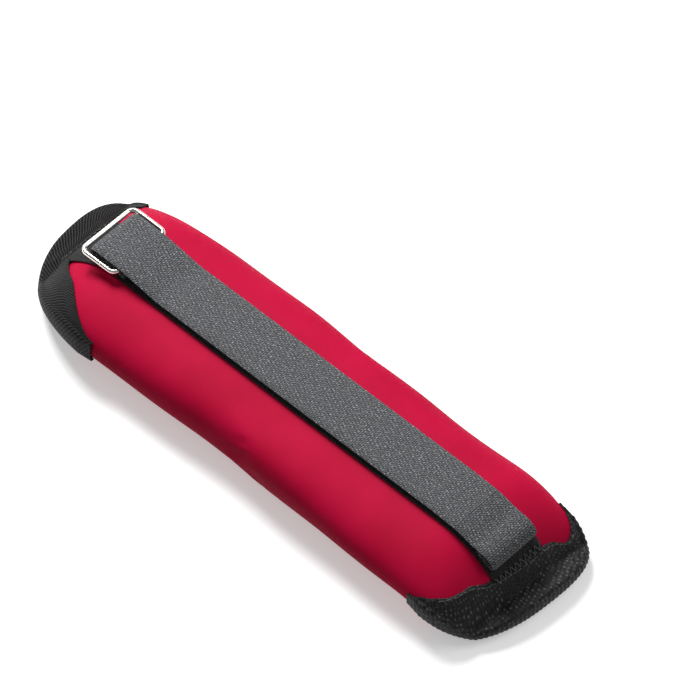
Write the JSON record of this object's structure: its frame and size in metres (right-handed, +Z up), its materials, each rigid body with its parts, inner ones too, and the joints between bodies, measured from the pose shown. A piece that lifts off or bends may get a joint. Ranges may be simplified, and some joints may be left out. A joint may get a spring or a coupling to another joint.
{
  "type": "ankle cuff weight",
  "caption": "Sand-filled neoprene ankle cuff laid flat, with bound ends, a wire ring and an elastic strap that folds back through it and holds by hook and loop.",
  "frame": {"origin": "centre of the underside, at the bottom of the bounding box", "axes": "+X along the cuff from the ring end to the sewn end, +Y across it, +Z up, away from the leg"},
  "size_m": [0.29, 0.085, 0.0392],
  "materials": {
    "neoprene": "matte",
    "bag_cloth": "matte",
    "sand": "matte",
    "loop_tape": "matte",
    "strap_webbing": "matte",
    "hook_pad": "matte",
    "ring_wire": "polished",
    "twill_tape": "matte",
    "thread": "satin"
  },
  "bodies": {
    "section_1": {"cover_1": "neoprene", "sand_bag_1": "bag_cloth", "iron_sand_1": "sand", "loop_tape_1": "loop_tape", "left_binding": "twill_tape", "left_tape_stitches": "thread", "strap_fold": "strap_webbing"},
    "section_2": {"cover_2": "neoprene", "sand_bag_2": "bag_cloth", "iron_sand_2": "sand", "loop_tape_2": "loop_tape", "strap_2": "strap_webbing"},
    "section_3": {"cover_3": "neoprene", "sand_bag_3": "bag_cloth", "iron_sand_3": "sand", "loop_tape_3": "loop_tape", "strap_3": "strap_webbing"},
    "section_4": {"cover_4": "neoprene", "sand_bag_4": "bag_cloth", "iron_sand_4": "sand", "loop_tape_4": "loop_tape", "strap_4": "strap_webbing"},
    "section_5": {"cover_5": "neoprene", "sand_bag_5": "bag_cloth", "iron_sand_5": "sand", "loop_tape_5": "loop_tape", "strap_5": "strap_webbing"},
    "section_6": {"cover_6": "neoprene", "sand_bag_6": "bag_cloth", "iron_sand_6": "sand", "loop_tape_6": "loop_tape", "strap_6": "strap_webbing"},
    "section_7": {"cover_7": "neoprene", "sand_bag_7": "bag_cloth", "iron_sand_7": "sand", "loop_tape_7": "loop_tape", "strap_7": "strap_webbing", "right_binding": "twill_tape", "right_tape_stitches": "thread"},
    "ring": {"ring": "ring_wire"},
    "strap_tip": {"strap_tip": "strap_webbing", "hook_pad": "hook_pad"}
  },
  "joints": [
    {"name": "wrap_3", "type": "hinge", "parent": "section_4", "child": "section_3", "pos_m": [-0.019, 0, 0.013], "axis": [0, -1, 0], "range_deg": [0, 44]},
    {"name": "wrap_2", "type": "hinge", "parent": "section_3", "child": "section_2", "pos_m": [-0.057, 0, 0.013], "axis": [0, -1, 0], "range_deg": [0, 44]},
    {"name": "wrap_1", "type": "hinge", "parent": "section_2", "child": "section_1", "pos_m": [-0.095, 0, 0.013], "axis": [0, -1, 0], "range_deg": [0, 44]},
    {"name": "wrap_5", "type": "hinge", "parent": "section_4", "child": "section_5", "pos_m": [0.019, 0, 0.013], "axis": [0, 1, 0], "range_deg": [0, 44]},
    {"name": "wrap_6", "type": "hinge", "parent": "section_5", "child": "section_6", "pos_m": [0.057, 0, 0.013], "axis": [0, 1, 0], "range_deg": [0, 44]},
    {"name": "wrap_7", "type": "hinge", "parent": "section_6", "child": "section_7", "pos_m": [0.095, 0, 0.013], "axis": [0, 1, 0], "range_deg": [0, 44]},
    {"name": "ring_swing", "type": "hinge", "parent": "section_1", "child": "ring", "pos_m": [-0.098, 0, 0.03525], "axis": [0, 1, 0], "range_deg": [-12, 120]},
    {"name": "tip_peel", "type": "hinge", "parent": "section_7", "child": "strap_tip", "pos_m": [0.101, 0, 0.03475], "axis": [0, -1, 0], "range_deg": [0, 100]}
  ],
  "couplings": [
    {"joint": "wrap_3", "follows": "wrap_5", "ratio": 1},
    {"joint": "wrap_2", "follows": "wrap_5", "ratio": 1},
    {"joint": "wrap_1", "follows": "wrap_5", "ratio": 1},
    {"joint": "wrap_6", "follows": "wrap_5", "ratio": 1},
    {"joint": "wrap_7", "follows": "wrap_5", "ratio": 1}
  ]
}
